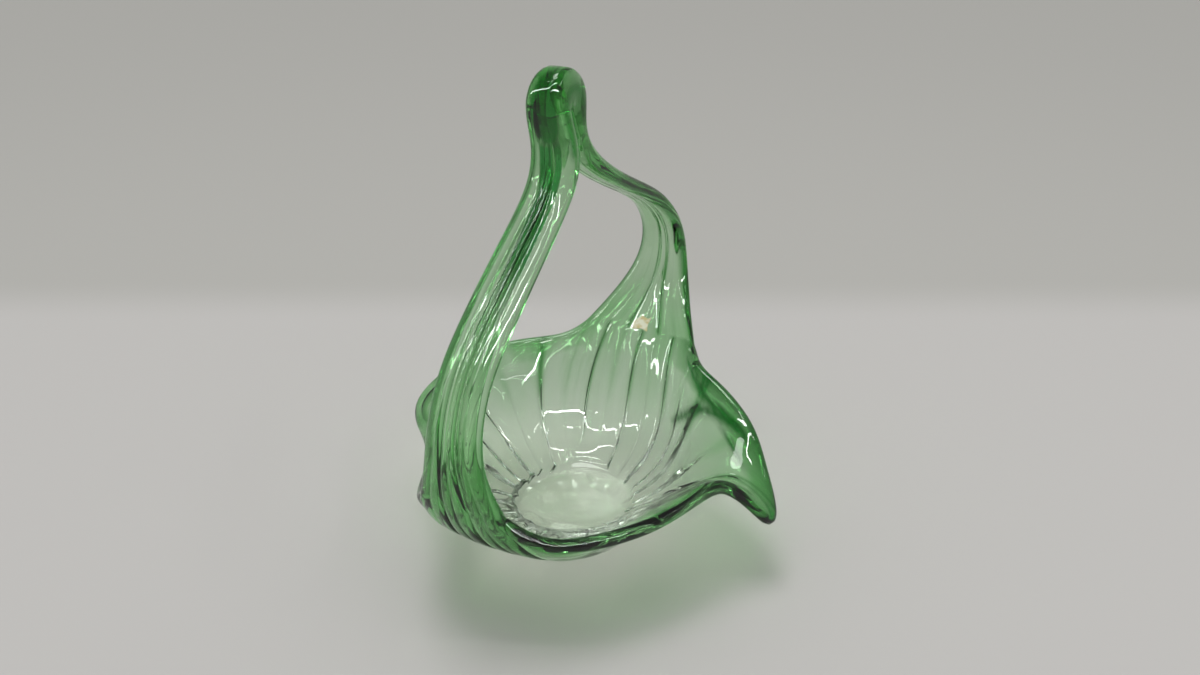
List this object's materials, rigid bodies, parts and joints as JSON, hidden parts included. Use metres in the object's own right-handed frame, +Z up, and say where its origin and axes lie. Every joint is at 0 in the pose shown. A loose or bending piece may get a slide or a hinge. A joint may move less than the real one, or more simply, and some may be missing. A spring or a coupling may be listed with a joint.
{
  "type": "glass basket",
  "caption": "Hand-worked glass basket: a ribbed open bowl with two drooping lips and a tall arched handle drawn from its rim, for sweets, fruit or flowers.",
  "frame": {"origin": "middle of the ground foot, on the table", "axes": "+Z up, +X towards the long pointed lip, +Y towards the rear arm, which carries the label"},
  "size_m": [0.235, 0.2433, 0.2799],
  "materials": {
    "glass": "fire-polished, green at the rim and handle, clear at the base",
    "paper": "matte"
  },
  "bodies": {
    "root": {"basket": "glass", "label": "paper"}
  },
  "joints": []
}
